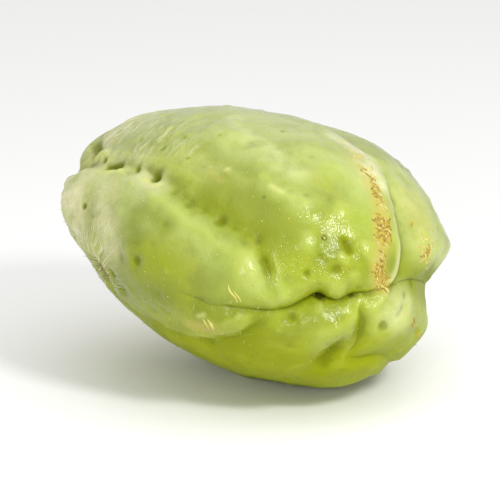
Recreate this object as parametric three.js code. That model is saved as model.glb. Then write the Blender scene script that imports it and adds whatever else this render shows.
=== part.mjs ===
// A chayote squash: one pear-shaped fruit lying on its belly, with folded lobes at its blossom end.
// Millimetres. X runs from the stem end to the blossom end, Y away from the near side, Z up.
// A place on the skin is [polar, round] in degrees: polar is measured from the blossom pole (+X), and
// round goes about X from the top (0) by the near side (90), the belly (180) and the far side (270).
import * as THREE from "three";
import { mergeVertices } from "three/addons/utils/BufferGeometryUtils.js";

// The plain body, before any fold.
const LENGTH = 118;
const WIDTH = 96;
const THICKNESS = 79;
const WIDTH_TAPER = 0.11; // wider towards the blossom end
const WIDTH_ROUNDING = 0.06; // narrower again at both ends
const FAR_SIDE_FULLNESS = 0.08; // the far side is fuller than the near one
const THICKNESS_TAPER = 0.06;
const THICKNESS_ROUNDING = 0.04;
const STEM_RISE = 8; // the whole stem end sits higher
const STEM_RISE_POWER = 1.5;
const STEM_TUCK = 27; // the underside rises towards the stem
const STEM_TUCK_POWER = 0.95;
const TUCK_LEAN = 0.35; // the tuck is stronger on the near side
const BELLY = { at: [112, 180], drop: 14, radius: 0.67 }; // the swelling that the fruit lies on
const REST_CUT = 0.9; // depth of the flat spot pressed into the belly

// The pit that the stalk grew from.
const STEM_PIT = { at: [113, 114], depth: 4.2, radius: 5.2 };

// Folds and furrows. Each runs along a route of [polar, round, depth]. width is the half width of the
// groove, edge how crisply its two rolls meet (0 soft, 1 pressed together), step how much lower the
// skin starts on the right of the route (on the left where negative), and lean how far the bottom
// slides under the roll on the left (on the right where negative).
const FOLDS = {
  mouth: {
    width: 6, edge: 0.85, step: 0, lean: 1.6,
    route: [
      [80, 94, 0], [76, 94, 1.2], [72, 95, 1.5], [69, 96, 0.9], [64, 95, 1.8], [58, 95, 2.5],
      [53, 95.5, 2.9], [49, 94, 3.1], [45, 91, 3.6], [41.5, 87, 4.6], [38, 83.5, 5.8], [36, 85, 4.8],
      [32, 86.5, 3.6], [27, 81.5, 4.4], [22, 79, 3.4], [18, 74, 3.2], [13.2, 68, 3.2], [8, 46, 3.4],
      [4.2, 345, 3.8], [10.5, 270, 3.8], [20.7, 255, 3.8], [32, 253.5, 3.6], [44.5, 260, 3.2], [56, 267, 2.4],
      [68, 266, 1.4], [80, 264, 0],
    ],
  },
  farPleat: {
    width: 6, edge: 0.3, step: 0, lean: 0,
    route: [[24, 296, 0], [33, 301, 1.2], [44, 304, 1.6], [56, 300, 1], [68, 294, 0]],
  },
  farJawPleat: {
    width: 5, edge: 0.35, step: 0, lean: 0,
    route: [[22, 256, 0], [28, 244, 1.8], [37, 236, 2], [48, 233, 1.4], [60, 226, 0]],
  },
  blossomHollow: {
    width: 14, edge: 0, step: 3, lean: 0,
    route: [
      [20, 74, 0], [13, 60, 1.6], [6.5, 25, 3.4], [6, 312, 4], [11.5, 268, 4.4], [22.5, 252, 4.2],
      [34, 250, 3.6], [46.5, 252, 2.4], [58, 262, 0],
    ],
  },
  cheekCleft: {
    width: 5, edge: 0.8, step: 2.6, lean: 1.2,
    route: [
      [13.5, 67, 3], [12, 38, 4.2], [17, 12, 4.2], [26, 1, 3.4], [34, 354, 2.6], [44, 347, 1.9],
      [53, 345, 1.3], [62, 342, 0.6], [72, 340, 0],
    ],
  },
  topFurrow: {
    width: 9, edge: 0.1, step: 0, lean: 0,
    route: [
      [38, 352, 0], [50, 344, 0.8], [64, 340, 1.7], [82, 335, 2], [100, 336, 1.6],
      [118, 331, 1.9], [138, 322, 2.1], [154, 300, 2], [162, 262, 1.6], [158, 215, 1.2],
      [150, 180, 0],
    ],
  },
  upperFurrow: {
    width: 6, edge: 0.12, step: -1, lean: 0,
    route: [
      [130, 104, 0], [142, 95, 1.2], [153, 80, 2], [157, 62, 3.4], [148, 50, 3.2], [137, 48, 2.8],
      [125, 48, 2], [114, 46, 1.7], [104, 45, 1.7], [97, 46, 2], [89, 49, 2], [78, 54, 2],
      [72, 56, 2.2], [67, 59, 2], [60, 61, 1.4], [55, 64, 0],
    ],
  },
  noseCrease: {
    width: 4, edge: 0.4, step: 0, lean: 0.2,
    route: [[63, 59, 0], [58, 63.5, 1], [55.5, 69, 2.2], [53.5, 74, 1.8], [52, 80, 0.8], [50, 88, 0]],
  },
  chinFold: {
    width: 6, edge: 0.4, step: -1.2, lean: -0.8,
    route: [
      [51, 94, 1], [54, 98.5, 1.8], [57.5, 105, 2.4], [62, 112, 2.7], [67.5, 118.5, 2.6],
      [74, 124, 2.3], [84, 129, 1.8], [96, 130, 1.4], [106, 127, 1.2], [115, 121, 0],
    ],
  },
  jawCrease: {
    width: 4, edge: 0.5, step: 0, lean: 0,
    route: [
      [24, 80, 1], [25, 92, 2.2], [25, 104, 2.6], [27, 118, 2.6], [33, 131, 1.6], [38, 138, 0],
    ],
  },
  underFurrow: {
    width: 5, edge: 0.5, step: 0, lean: 0,
    route: [
      [37, 128, 0], [35, 133, 1.2], [31, 141, 1.8], [27, 150, 1.6], [28, 165, 1.4],
      [36, 185, 1.2], [50, 200, 1.2], [70, 207, 1.3], [95, 205, 1.3], [118, 190, 1.5],
      [130, 160, 1.8], [131, 125, 0],
    ],
  },
  jawValley: {
    width: 6, edge: 0.15, step: 0, lean: 0,
    route: [
      [32, 108, 0], [34, 118, 2.2], [37.5, 126, 3], [42, 132, 2.6], [46, 136, 1.4], [52, 142, 0],
    ],
  },
  farFurrow: {
    width: 8, edge: 0.2, step: 0, lean: 0,
    route: [
      [56, 274, 0], [66, 262, 1.6], [80, 255, 1.8], [98, 254, 1.6], [118, 256, 1.6],
      [138, 256, 1.8], [155, 240, 2], [156, 180, 2], [136, 121, 0],
    ],
  },
  topValley: {
    width: 8, edge: 0, step: 0, lean: 0,
    route: [[110, 36, 0], [96, 38, 0.5], [84, 38, 0.7], [72, 41, 0.8], [62, 46, 0.6], [55, 54, 0]],
  },
  shoulderDent: {
    width: 4.5, edge: 0.4, step: 0, lean: 0,
    route: [[147, 16, 0], [144, 21, 1.6], [139, 29, 2.8], [133, 35.5, 3.4], [129, 39.5, 1.6], [127, 43, 0]],
  },
};
const ROUTE_STEPS = 8; // pieces of a route between two of its points
const CURVE_TENSION = 0.5;
const STEP_REACH = 14; // how far from its fold a step fades out
const JOIN_SHARPNESS = 3; // how plainly the deeper of two folds wins where they meet
const BOTTOM_ROUNDING = 0.7; // keeps a fold's bottom from being narrower than the mesh can show

// Raised bands along a route of [polar, round].
const RIDGES = [
  { height: 0.9, radius: 4.5, route: [[90, 18], [85, 20], [77, 20], [72, 23], [66, 27], [60, 27]] },
  { height: 0.6, radius: 2.6, route: [[66, 34], [60, 37], [52, 37]] },
  { height: 1.1, radius: 6, route: [[92, 57], [84, 60], [76, 64], [69, 68], [62, 74]] },
  { height: 0.8, radius: 1.8, route: [[134, 52], [126, 52], [118, 50], [111, 48]] },
  { height: 0.8, radius: 1.6, route: [[145, 46], [136, 44], [129, 41], [124, 39]] },
  { height: 0.8, radius: 1.6, route: [[21, 92], [21, 104], [22, 114]] },
  { height: 0.9, radius: 5, route: [[30, 220], [46, 226], [64, 232], [84, 232]] },
  { height: 0.9, radius: 5, route: [[60, 300], [80, 296], [104, 294], [122, 296]] },
  { height: 0.8, radius: 5, route: [[48, 168], [66, 172], [86, 176]] },
];

// Warts and low swellings: [polar, round, height, radius].
const SWELLS = [
  [42, 31, 1.3, 3.8], [46, 54, 1.2, 3.8], [28, 44, 1.6, 3.4], [34, 57, 0.9, 2.2], // on the near cheek
  [36, 106, 2.1, 5], [12, 100, 1.6, 8], [62, 105, 1.4, 5], [70, 104, 0.6, 3], // on jaw and chin
  [59, 77, 1.5, 6], [130, 78, 1.7, 9], // nose and shoulder of the near lobe
  [15, 317, 1, 4], [20, 306, 0.8, 2.6], [10, 322, 0.8, 2.4], [28, 291, 1.8, 6], // far cheek
  [85, 18, 0.5, 6], [54, 12, 1, 5], [66, 8, 0.8, 6], [151, 20, 1.3, 9], [128, 6, 1, 8], // along the top
];

// Pits and dents: [polar, round, depth, radius].
const DENTS = [
  [119, 47, 1.1, 1.4], [117, 46, 1.4, 1.4], [115, 45, 1.4, 1.4], [113, 45, 1, 1.4], // stem nick
  [97, 46, 2.3, 1.8], [99, 44, 0.7, 2.6], [105, 45, 0.7, 1.2], [71, 56, 0.8, 1.9], // in the furrow
  [119, 72, 1, 1.1], [92, 85, 0.9, 1.8], [98, 88, 0.6, 1.5], // near side
  [104, 103, 0.9, 1.9], [101, 111, 1, 2.6], [46, 97, 0.9, 1.4], // under the near side
  [35, 47, 1.1, 1.6], [35, 64, 0.6, 1.6], [43, 70, 0.6, 1.2], // among the warts
  [20, 113, 1.1, 2.2], [10, 106, 0.9, 1.8], [7, 81, 0.8, 1.6], [36, 243, 2.6, 13], // on the jaw
  [161, 48, 1.3, 5], [129, 111, 2, 7], // at the stem end
];

// The slow unevenness of a grown skin, as two crossing pairs of waves.
const LONG_RIPPLE = 0.35;
const SHORT_RIPPLE = 0.22;

// The mesh.
const DETAIL = 22; // 20 * (DETAIL + 1) ** 2 triangles
const CROWDING = 0.6; // share of the way that a vertex on a fold's edge moves towards the fold
const CROWDING_REACH = 5;
const NORMAL_STEP = 1e-3; // of the unit sphere's radius
const MERGE_WITHIN = 1e-5;

function direction([polar, round]) {
  const p = THREE.MathUtils.degToRad(polar);
  const r = THREE.MathUtils.degToRad(round);
  return new THREE.Vector3(Math.cos(p), -Math.sin(p) * Math.sin(r), Math.sin(p) * Math.cos(r));
}

function bell(distance, radius) {
  return Math.exp(-((distance / radius) ** 2));
}

function smooth(x) {
  const t = THREE.MathUtils.clamp(x, 0, 1);
  return t * t * (3 - 2 * t);
}

const bellyDirection = direction(BELLY.at);

// The plain body's point in a direction.
function bodyPoint(u) {
  const stemward = (1 - u.x) / 2;
  const widthHere = (WIDTH / 2) * (1 + WIDTH_TAPER * u.x - WIDTH_ROUNDING * u.x ** 2);
  const thicknessHere = (THICKNESS / 2) * (1 + THICKNESS_TAPER * u.x + THICKNESS_ROUNDING * u.x ** 2);
  const underside = ((1 - u.z) / 2) ** 2;
  const rise = STEM_RISE * stemward ** STEM_RISE_POWER;
  const tuck = STEM_TUCK * stemward ** STEM_TUCK_POWER * underside * (1 - TUCK_LEAN * u.y);
  const belly = BELLY.drop * bell(u.distanceTo(bellyDirection), BELLY.radius);
  return new THREE.Vector3(
    (LENGTH / 2) * u.x,
    widthHere * u.y * (1 + FAR_SIDE_FULLNESS * Math.max(u.y, 0)),
    thicknessHere * u.z + rise + tuck - belly,
  );
}

// The plain body's outward normal in a direction, from two short steps across it.
function bodyNormal(u) {
  const reference = Math.abs(u.x) < 0.8 ? new THREE.Vector3(1, 0, 0) : new THREE.Vector3(0, 1, 0);
  const a = u.clone().cross(reference).normalize();
  const b = u.clone().cross(a);
  const across = (axis) => {
    const ahead = bodyPoint(u.clone().addScaledVector(axis, NORMAL_STEP).normalize());
    return ahead.sub(bodyPoint(u.clone().addScaledVector(axis, -NORMAL_STEP).normalize()));
  };
  return across(a).cross(across(b)).normalize();
}

// A route laid on the plain body: its directions and its points.
function traceRoute(route) {
  const curve = new THREE.CatmullRomCurve3(route.map(direction), false, "catmullrom", CURVE_TENSION);
  const directions = curve.getPoints((route.length - 1) * ROUTE_STEPS).map((v) => v.normalize());
  return { directions, points: directions.map(bodyPoint) };
}

// A fold with its route laid on the body, and its depth at each point.
function traceFold(fold) {
  const { directions, points } = traceRoute(fold.route);
  const depths = directions.map((_, i) => {
    const k = Math.min(Math.floor(i / ROUTE_STEPS), fold.route.length - 2);
    return THREE.MathUtils.lerp(fold.route[k][2], fold.route[k + 1][2], i / ROUTE_STEPS - k);
  });
  return { ...fold, directions, points, depths, deepest: Math.max(...depths) };
}

// The nearest place on a line of points: how far, on which piece and how far along it.
function nearestOn(points, p) {
  const best = { distance: Infinity, index: 0, share: 0 };
  const piece = new THREE.Vector3();
  const offset = new THREE.Vector3();
  for (let i = 0; i + 1 < points.length; i++) {
    piece.subVectors(points[i + 1], points[i]);
    offset.subVectors(p, points[i]);
    const share = THREE.MathUtils.clamp(offset.dot(piece) / piece.lengthSq(), 0, 1);
    const distance = offset.addScaledVector(piece, -share).length();
    if (distance < best.distance) Object.assign(best, { distance, index: i, share });
  }
  return best;
}

// A groove's depth, from 0 at its rim (x = 0) to 1 at its bottom (x = 1).
function groove(x, edge) {
  const t = THREE.MathUtils.clamp(x, 0, 1);
  return (1 - edge) * smooth(t) + edge * (1 - Math.sqrt(1 - t * t));
}

// How far one fold sinks the skin at a point, and how far it slides it sideways.
function foldEffect(fold, p, normal) {
  const { distance, index, share } = nearestOn(fold.points, p);
  const piece = new THREE.Vector3().subVectors(fold.points[index + 1], fold.points[index]);
  const foot = fold.points[index].clone().addScaledVector(piece, share);
  const left = new THREE.Vector3().crossVectors(normal, piece).normalize();
  const onLeft = new THREE.Vector3().subVectors(p, foot).dot(left) > 0;
  const depth = THREE.MathUtils.lerp(fold.depths[index], fold.depths[index + 1], share);
  const strength = depth / fold.deepest;
  const profile = groove(1 - Math.hypot(distance, BOTTOM_ROUNDING) / fold.width, fold.edge);
  const stepHere = Math.abs(fold.step) * strength;
  const lowSide = fold.step > 0 ? !onLeft : onLeft;
  const sink =
    fold.step !== 0 && lowSide
      ? stepHere * smooth(1 - distance / STEP_REACH) + (depth - stepHere) * profile
      : depth * profile;
  return { sink: Math.max(sink, 0), slide: left.multiplyScalar(fold.lean * strength * profile ** 2) };
}

function ripple({ x, y, z }) {
  const long = Math.sin(x / 9 + 1.3 * Math.sin(y / 13) + 0.6) * Math.sin(z / 8 + 1.1 * Math.sin(x / 15));
  const short = Math.sin(y / 6.1 + x / 11 + 2) * Math.sin(z / 5.3 - x / 9);
  return LONG_RIPPLE * long + SHORT_RIPPLE * short;
}

const folds = Object.values(FOLDS).map(traceFold);
const ridges = RIDGES.map((ridge) => ({ ...ridge, ...traceRoute(ridge.route) }));
const spots = [
  ...SWELLS.map(([polar, round, height, radius]) => ({ at: [polar, round], height, radius })),
  ...DENTS.map(([polar, round, depth, radius]) => ({ at: [polar, round], height: -depth, radius })),
  { at: STEM_PIT.at, height: -STEM_PIT.depth, radius: STEM_PIT.radius },
].map((spot) => ({ ...spot, centre: bodyPoint(direction(spot.at)) }));

// Moves a direction towards the nearest fold, so that the mesh is finest where the skin turns most.
function crowd(u) {
  const p = bodyPoint(u);
  let best = { distance: Infinity };
  for (const fold of folds) {
    const near = nearestOn(fold.points, p);
    if (near.distance < best.distance) best = { ...near, fold };
  }
  const { directions } = best.fold;
  const target = directions[best.index].clone().lerp(directions[best.index + 1], best.share).normalize();
  return u.lerp(target, CROWDING * bell(best.distance, CROWDING_REACH)).normalize();
}

// The finished skin's point in a direction.
function skinPoint(u) {
  const p = bodyPoint(u);
  const normal = bodyNormal(u);
  const slide = new THREE.Vector3();
  let sunk = 0;
  for (const fold of folds) {
    const effect = foldEffect(fold, p, normal);
    sunk += effect.sink ** JOIN_SHARPNESS;
    slide.add(effect.slide);
  }
  let height = ripple(p) - sunk ** (1 / JOIN_SHARPNESS);
  for (const ridge of ridges) {
    height += ridge.height * bell(nearestOn(ridge.points, p).distance, ridge.radius);
  }
  for (const spot of spots) {
    height += spot.height * bell(p.distanceTo(spot.centre), spot.radius);
  }
  return p.addScaledVector(normal, height).add(slide);
}

function fruitGeometry() {
  const sphere = new THREE.IcosahedronGeometry(1, DETAIL);
  sphere.deleteAttribute("normal");
  sphere.deleteAttribute("uv");
  const geometry = mergeVertices(sphere, MERGE_WITHIN);
  const position = geometry.getAttribute("position");
  const u = new THREE.Vector3();
  for (let i = 0; i < position.count; i++) {
    u.fromBufferAttribute(position, i).normalize();
    position.setXYZ(i, ...skinPoint(crowd(u)));
  }
  // The fruit's weight presses a small flat spot into its belly.
  geometry.computeBoundingBox();
  const floor = geometry.boundingBox.min.z + REST_CUT;
  for (let i = 0; i < position.count; i++) position.setZ(i, Math.max(position.getZ(i), floor));
  // The origin is under the middle of the fruit, on the surface that it lies on.
  geometry.computeBoundingBox();
  const middle = geometry.boundingBox.getCenter(new THREE.Vector3());
  geometry.translate(-middle.x, -middle.y, -floor);
  geometry.computeVertexNormals();
  return geometry;
}

const skin = new THREE.MeshStandardMaterial({ color: 0xa9b53a, roughness: 0.45, metalness: 0 });
const fruit = new THREE.Mesh(fruitGeometry(), skin);
fruit.name = "chayote_fruit";

const chayote = new THREE.Group();
chayote.add(fruit);
export default chayote;
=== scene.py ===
import math

import bpy
import numpy as np
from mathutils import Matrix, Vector


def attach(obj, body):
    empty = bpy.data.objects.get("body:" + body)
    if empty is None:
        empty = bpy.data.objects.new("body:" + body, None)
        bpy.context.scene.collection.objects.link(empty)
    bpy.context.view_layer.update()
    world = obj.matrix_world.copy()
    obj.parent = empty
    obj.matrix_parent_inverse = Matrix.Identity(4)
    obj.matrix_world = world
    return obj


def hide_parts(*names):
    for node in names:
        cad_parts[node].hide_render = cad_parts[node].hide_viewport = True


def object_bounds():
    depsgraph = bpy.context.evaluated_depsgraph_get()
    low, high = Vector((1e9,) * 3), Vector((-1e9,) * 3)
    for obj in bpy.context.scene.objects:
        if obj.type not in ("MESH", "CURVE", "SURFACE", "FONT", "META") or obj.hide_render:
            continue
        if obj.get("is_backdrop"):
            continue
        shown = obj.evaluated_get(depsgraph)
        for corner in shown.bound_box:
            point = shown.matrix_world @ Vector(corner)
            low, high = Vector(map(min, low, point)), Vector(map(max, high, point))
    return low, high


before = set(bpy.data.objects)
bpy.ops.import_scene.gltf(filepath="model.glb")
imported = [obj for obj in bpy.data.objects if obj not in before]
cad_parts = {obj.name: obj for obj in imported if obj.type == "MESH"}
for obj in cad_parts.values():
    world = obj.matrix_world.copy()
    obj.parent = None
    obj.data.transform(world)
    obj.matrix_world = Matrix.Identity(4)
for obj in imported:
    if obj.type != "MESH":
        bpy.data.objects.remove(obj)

cad_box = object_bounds()

# ---------------------------------------------------------------------------------------------
# The fruit. A chayote grows as one pear-shaped piece: thin waxy skin drawn tight over firm flesh,
# folded into lobes where the blossom was. Its form is worked out in millimetres along the same
# folds, warts and pits as the solid, and then made metres.
# ---------------------------------------------------------------------------------------------
MM = 0.001
LENGTH = 118
WIDTH = 96
THICKNESS = 79
WIDTH_TAPER = 0.11
WIDTH_ROUNDING = 0.06
FAR_SIDE_FULLNESS = 0.08
THICKNESS_TAPER = 0.06
THICKNESS_ROUNDING = 0.04
STEM_RISE = 8
STEM_TUCK = 27
TUCK_LEAN = 0.35
BELLY_AT = (112, 180)
BELLY_DROP = 14
BELLY_RADIUS = 30
REST_CUT = 0.9

STEM_PIT_AT = (113, 114)
STEM_PIT_DEPTH = 4.2
STEM_PIT_RADIUS = 5.2

# A place is (polar, round): degrees from the blossom's end, and degrees round the fruit from its
# top, over its near side. A fold has its half width, how sharp its edge is, how far one side of it
# steps down, how far it leans over, and its route of (polar, round, depth in millimetres).
FOLDS = {
    "mouth": (6, 0.85, 0, 1.6, [
        (80, 94, 0), (76, 94, 1.2), (72, 95, 1.5), (69, 96, 0.9), (64, 95, 1.8), (58, 95, 2.5),
        (53, 95.5, 2.9), (49, 94, 3.1), (45, 91, 3.6), (41.5, 87, 4.6), (38, 83.5, 5.8), (36, 85, 4.8),
        (32, 86.5, 3.6), (27, 81.5, 4.4), (22, 79, 3.4), (18, 74, 3.2), (13.2, 68, 3.2), (8, 46, 3.4),
        (4.2, 345, 3.8), (10.5, 270, 3.8), (20.7, 255, 3.8), (32, 253.5, 3.6), (44.5, 260, 3.2),
        (56, 267, 2.4), (68, 266, 1.4), (80, 264, 0)]),
    "far_pleat": (6, 0.3, 0, 0, [
        (24, 296, 0), (33, 301, 1.2), (44, 304, 1.6), (56, 300, 1), (68, 294, 0)]),
    "far_jaw_pleat": (5, 0.35, 0, 0, [
        (22, 256, 0), (28, 244, 1.8), (37, 236, 2), (48, 233, 1.4), (60, 226, 0)]),
    "blossom_hollow": (14, 0, 3, 0, [
        (20, 74, 0), (13, 60, 1.6), (6.5, 25, 3.4), (6, 312, 4), (11.5, 268, 4.4), (22.5, 252, 4.2),
        (34, 250, 3.6), (46.5, 252, 2.4), (58, 262, 0)]),
    "cheek_cleft": (5, 0.8, 2.6, 1.2, [
        (13.5, 67, 3), (12, 38, 4.2), (17, 12, 4.2), (26, 1, 3.4), (34, 354, 2.6), (44, 347, 1.9),
        (53, 345, 1.3), (62, 342, 0.6), (72, 340, 0)]),
    "top_furrow": (9, 0.1, 0, 0, [
        (38, 352, 0), (50, 344, 0.8), (64, 340, 1.7), (82, 335, 2), (100, 336, 1.6),
        (118, 331, 1.9), (138, 322, 2.1), (154, 300, 2), (162, 262, 1.6), (158, 215, 1.2), (150, 180, 0)]),
    "upper_furrow": (6, 0.12, -1, 0, [
        (130, 104, 0), (142, 95, 1.2), (153, 80, 2), (157, 62, 3.4), (148, 50, 3.2), (137, 48, 2.8),
        (125, 48, 2), (114, 46, 1.7), (104, 45, 1.7), (97, 46, 2), (89, 49, 2), (78, 54, 2),
        (72, 56, 2.2), (67, 59, 2), (60, 61, 1.4), (55, 64, 0)]),
    "nose_crease": (4, 0.4, 0, 0.2, [
        (63, 59, 0), (58, 63.5, 1), (55.5, 69, 2.2), (53.5, 74, 1.8), (52, 80, 0.8), (50, 88, 0)]),
    "chin_fold": (6, 0.4, -1.2, -0.8, [
        (51, 94, 1), (54, 98.5, 1.8), (57.5, 105, 2.4), (62, 112, 2.7), (67.5, 118.5, 2.6),
        (74, 124, 2.3), (84, 129, 1.8), (96, 130, 1.4), (106, 127, 1.2), (115, 121, 0)]),
    "jaw_crease": (4, 0.5, 0, 0, [
        (24, 80, 1), (25, 92, 2.2), (25, 104, 2.6), (27, 118, 2.6), (33, 131, 1.6), (38, 138, 0)]),
    "under_furrow": (5, 0.5, 0, 0, [
        (37, 128, 0), (35, 133, 1.2), (31, 141, 1.8), (27, 150, 1.6), (28, 165, 1.4),
        (36, 185, 1.2), (50, 200, 1.2), (70, 207, 1.3), (95, 205, 1.3), (118, 190, 1.5),
        (130, 160, 1.8), (131, 125, 0)]),
    "jaw_valley": (6, 0.15, 0, 0, [
        (32, 108, 0), (34, 118, 2.2), (37.5, 126, 3), (42, 132, 2.6), (46, 136, 1.4), (52, 142, 0)]),
    "far_furrow": (8, 0.2, 0, 0, [
        (56, 274, 0), (66, 262, 1.6), (80, 255, 1.8), (98, 254, 1.6), (118, 256, 1.6),
        (138, 256, 1.8), (155, 240, 2), (156, 180, 2), (136, 121, 0)]),
    "top_valley": (8, 0, 0, 0, [
        (110, 36, 0), (96, 38, 0.5), (84, 38, 0.7), (72, 41, 0.8), (62, 46, 0.6), (55, 54, 0)]),
    "shoulder_dent": (4.5, 0.4, 0, 0, [
        (147, 16, 0), (144, 21, 1.6), (139, 29, 2.8), (133, 35.5, 3.4), (129, 39.5, 1.6), (127, 43, 0)]),
    "wart_nick": (2, 0.4, 0, 0, [(38, 44, 0), (35.5, 46, 1.1), (33.5, 50, 0.9), (32, 53, 0)]),
}
ROUTE_STEPS = 8
STEP_REACH = 14
JOIN_SHARPNESS = 3
BOTTOM_ROUNDING = 0.15
REACH = 15
LIP_AT = 2.2
LIP_WIDTH = 1.8
CREASE_WIDTH = 0.5

# Raised bands, each with its height, radius and route of places.
RIDGES = [
    (0.9, 4.5, [(90, 18), (85, 20), (77, 20), (72, 23), (66, 27), (60, 27)]),
    (0.6, 2.6, [(66, 34), (60, 37), (52, 37)]),
    (1.1, 6, [(92, 57), (84, 60), (76, 64), (69, 68), (62, 74)]),
    (0.8, 1.8, [(134, 52), (126, 52), (118, 50), (111, 48)]),
    (0.8, 1.6, [(145, 46), (136, 44), (129, 41), (124, 39)]),
    (0.8, 1.6, [(21, 92), (21, 104), (22, 114)]),
    (0.9, 5, [(30, 220), (46, 226), (64, 232), (84, 232)]),
    (0.9, 5, [(60, 300), (80, 296), (104, 294), (122, 296)]),
    (0.8, 5, [(48, 168), (66, 172), (86, 176)])]

# Single swellings and pits, as (polar, round, height or depth, radius).
SWELLS = [
    (42, 31, 1.3, 3.8), (46, 54, 1.2, 3.8), (28, 44, 1.6, 3.4), (34, 57, 0.9, 2.2),
    (36, 106, 2.1, 5), (12, 100, 1.6, 8), (62, 105, 1.4, 5), (59, 77, 1.5, 6), (130, 78, 1.7, 9),
    (15, 317, 1, 4), (20, 306, 0.8, 2.6), (10, 322, 0.8, 2.4), (28, 291, 1.8, 6),
    (85, 18, 0.5, 6), (151, 20, 1.3, 9), (128, 6, 1, 8),
    (76, 36, 0.5, 1.4), (100, 24, 0.5, 1.2), (54, 12, 1, 5), (66, 8, 0.8, 6), (50, 80, 0.5, 2),
    (48, 86, 0.5, 1.8), (70, 104, 0.6, 3), (28, 96, 0.6, 2.4)]
DENTS = [
    (119, 47, 1.1, 1.3), (117, 46, 1.4, 1.4), (115, 45, 1.4, 1.4), (113, 45, 1, 1.2),
    (97, 46, 2.3, 1.4), (99, 44, 0.7, 2.6), (105, 45, 0.7, 0.9), (119, 72, 1, 0.8),
    (111, 30, 0.5, 0.9), (100, 33, 0.6, 0.8), (110, 39, 0.3, 1), (122, 43, 0.8, 0.9),
    (124, 41, 0.4, 0.9), (130, 45, 0.4, 0.6), (127, 44, 0.4, 0.6), (108, 54, 0.3, 0.8),
    (88, 50, 0.4, 1.3), (84.5, 51, 0.3, 1.1), (82, 53, 0.4, 1.5), (77, 54, 0.35, 1.2),
    (71, 56, 0.8, 1.9), (67, 58, 0.3, 1.2), (63, 60, 0.4, 1.6), (59, 61, 0.5, 1.6),
    (92, 85, 0.9, 1.8), (98, 88, 0.6, 1.5), (104, 103, 0.9, 1.9), (101, 111, 1, 2.6),
    (85, 97, 0.5, 1.7), (129, 111, 2, 7), (46, 97, 0.9, 1.3), (49, 99, 0.5, 1.5),
    (49, 114, 0.4, 1.6), (41, 59, 0.4, 1),
    (35, 64, 0.6, 1.6), (34, 61, 0.4, 1.2), (43, 70, 0.6, 1), (51, 67, 0.4, 1), (20, 113, 1.1, 2.2),
    (18, 118, 0.6, 1.8), (10, 106, 0.9, 1.8), (13, 111, 0.7, 1.6), (7, 81, 0.8, 1.6),
    (36, 243, 2.6, 13), (161, 48, 1.3, 5), (77, 20, 0.5, 1.8), (85, 65, 0.5, 1.6)]

# Finer relief that only the skin has: puckers round the stem pit, and small warts, knobs and pits.
PUCKERS = 17
PUCKER_DEPTH = 0.4
PUCKER_REACH = 22
PIT_SCAR_RADIUS = 3.1
PIT_SCAR_RISE = 0.9
WARTS = 46
KNOBS = 420
SMALL_PITS = 150
PIT_SHARE = 1.4
SHOWN_SIDE = (62, 60)
# Faces along each side of the mesh's cube, and how it is drawn together along the folds.
GRID = 126
CROWDING = 0.62
CROWDING_REACH = 4.5
CROWDED_WITHIN = 12
EVENING_ROUNDS = 40
HAIRLESS_HEIGHT = 1.5

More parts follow.
